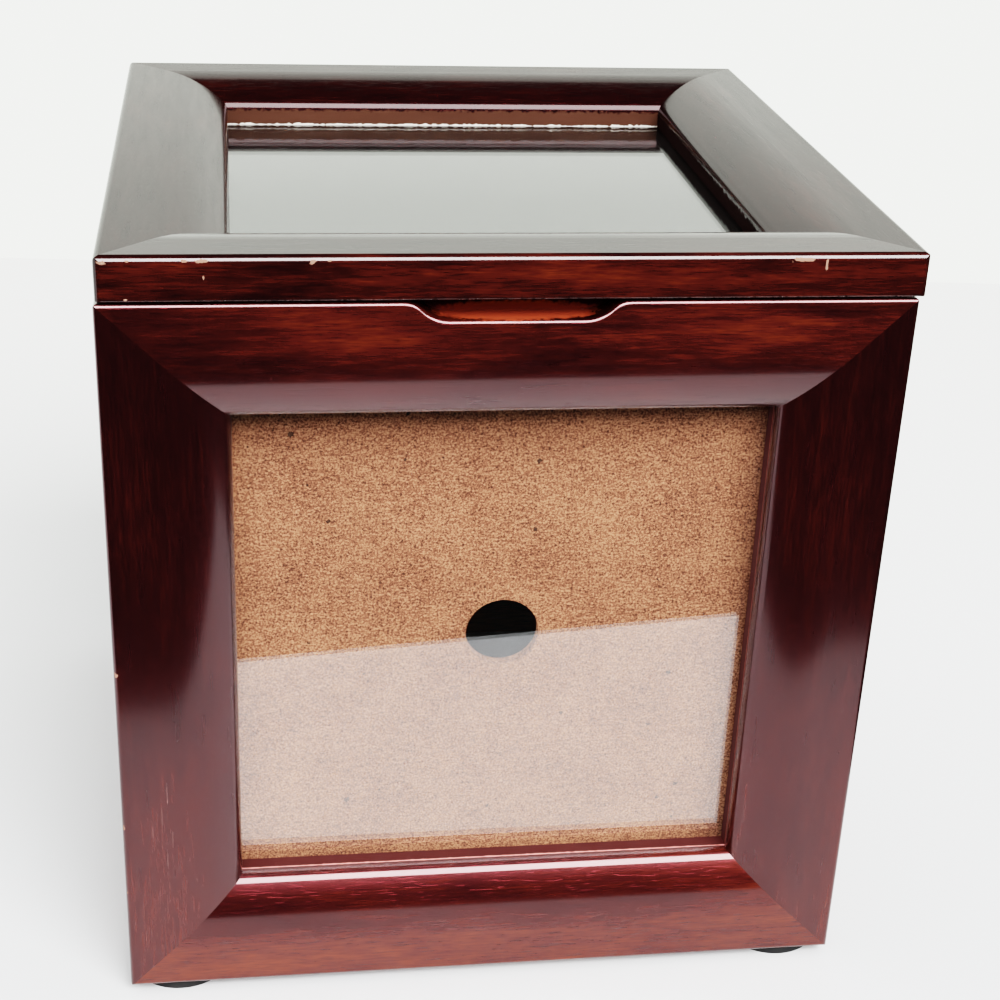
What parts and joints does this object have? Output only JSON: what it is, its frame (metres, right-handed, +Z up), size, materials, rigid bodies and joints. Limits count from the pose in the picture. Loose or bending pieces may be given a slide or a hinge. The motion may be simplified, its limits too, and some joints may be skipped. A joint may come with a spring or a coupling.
{
  "type": "photo keepsake box",
  "caption": "Cube-shaped wooden keepsake box whose mitred frame sides hold glazed square prints, with a hinged framed lid, a finger scoop and round feet.",
  "frame": {"origin": "on the table under the centre of the body, in the plane of the feet", "axes": "+Z up, -Y towards the front with the finger scoop, hinges at +Y"},
  "size_m": [0.141, 0.1406, 0.15],
  "materials": {
    "stained_wood": "dark red-brown stain under satin-gloss lacquer",
    "glass": "clear polished",
    "fibreboard": "raw hardboard",
    "black_board": "black paper face",
    "base_panel": "dark stain",
    "felt": "black felt",
    "foot_pad": "matt black",
    "brass": "satin"
  },
  "bodies": {
    "body": {"front_top_rail": "stained_wood", "front_bottom_rail": "stained_wood", "front_left_stile": "stained_wood", "front_right_stile": "stained_wood", "right_top_rail": "stained_wood", "right_bottom_rail": "stained_wood", "right_left_stile": "stained_wood", "right_right_stile": "stained_wood", "back_top_rail": "stained_wood", "back_bottom_rail": "stained_wood", "back_left_stile": "stained_wood", "back_right_stile": "stained_wood", "left_top_rail": "stained_wood", "left_bottom_rail": "stained_wood", "left_left_stile": "stained_wood", "left_right_stile": "stained_wood", "front_glass": "glass", "right_glass": "glass", "back_glass": "glass", "left_glass": "glass", "bottom_panel": "base_panel", "floor_lining": "felt", "front_left_foot": "foot_pad", "front_right_foot": "foot_pad", "back_right_foot": "foot_pad", "back_left_foot": "foot_pad", "left_hinge_body_leaf": "brass", "right_hinge_body_leaf": "brass", "left_hinge_pin": "brass", "right_hinge_pin": "brass"},
    "lid": {"lid_front_rail": "stained_wood", "lid_right_rail": "stained_wood", "lid_back_rail": "stained_wood", "lid_left_rail": "stained_wood", "lid_glass": "glass", "lid_backing_board": "black_board", "left_hinge_lid_leaf": "brass", "right_hinge_lid_leaf": "brass", "turn_button_screws": "brass"},
    "front_board": {"front_backing_board": "fibreboard"},
    "right_board": {"right_backing_board": "fibreboard"},
    "back_board": {"back_backing_board": "fibreboard"},
    "left_board": {"left_backing_board": "fibreboard"},
    "left_turn_button": {"lid_left_turn_button": "brass"},
    "right_turn_button": {"lid_right_turn_button": "brass"}
  },
  "joints": [
    {"name": "lid_hinge", "type": "hinge", "parent": "body", "child": "lid", "pos_m": [0, 0.0665, 0.14203], "axis": [-1, 0, 0], "range_deg": [0, 95]},
    {"name": "front_board_slide", "type": "slide", "parent": "body", "child": "front_board", "axis": [0, 1, 0], "range_m": [0, 0.005]},
    {"name": "right_board_slide", "type": "slide", "parent": "body", "child": "right_board", "axis": [-1, 0, 0], "range_m": [0, 0.005]},
    {"name": "back_board_slide", "type": "slide", "parent": "body", "child": "back_board", "axis": [0, -1, 0], "range_m": [0, 0.005]},
    {"name": "left_board_slide", "type": "slide", "parent": "body", "child": "left_board", "axis": [1, 0, 0], "range_m": [0, 0.005]},
    {"name": "left_button_turn", "type": "hinge", "parent": "lid", "child": "left_turn_button", "pos_m": [-0.05264, 0, 0.13555], "axis": [0, 0, 1], "range_deg": [-90, 90]},
    {"name": "right_button_turn", "type": "hinge", "parent": "lid", "child": "right_turn_button", "pos_m": [0.05394, 0, 0.13555], "axis": [0, 0, 1], "range_deg": [-90, 90]}
  ]
}
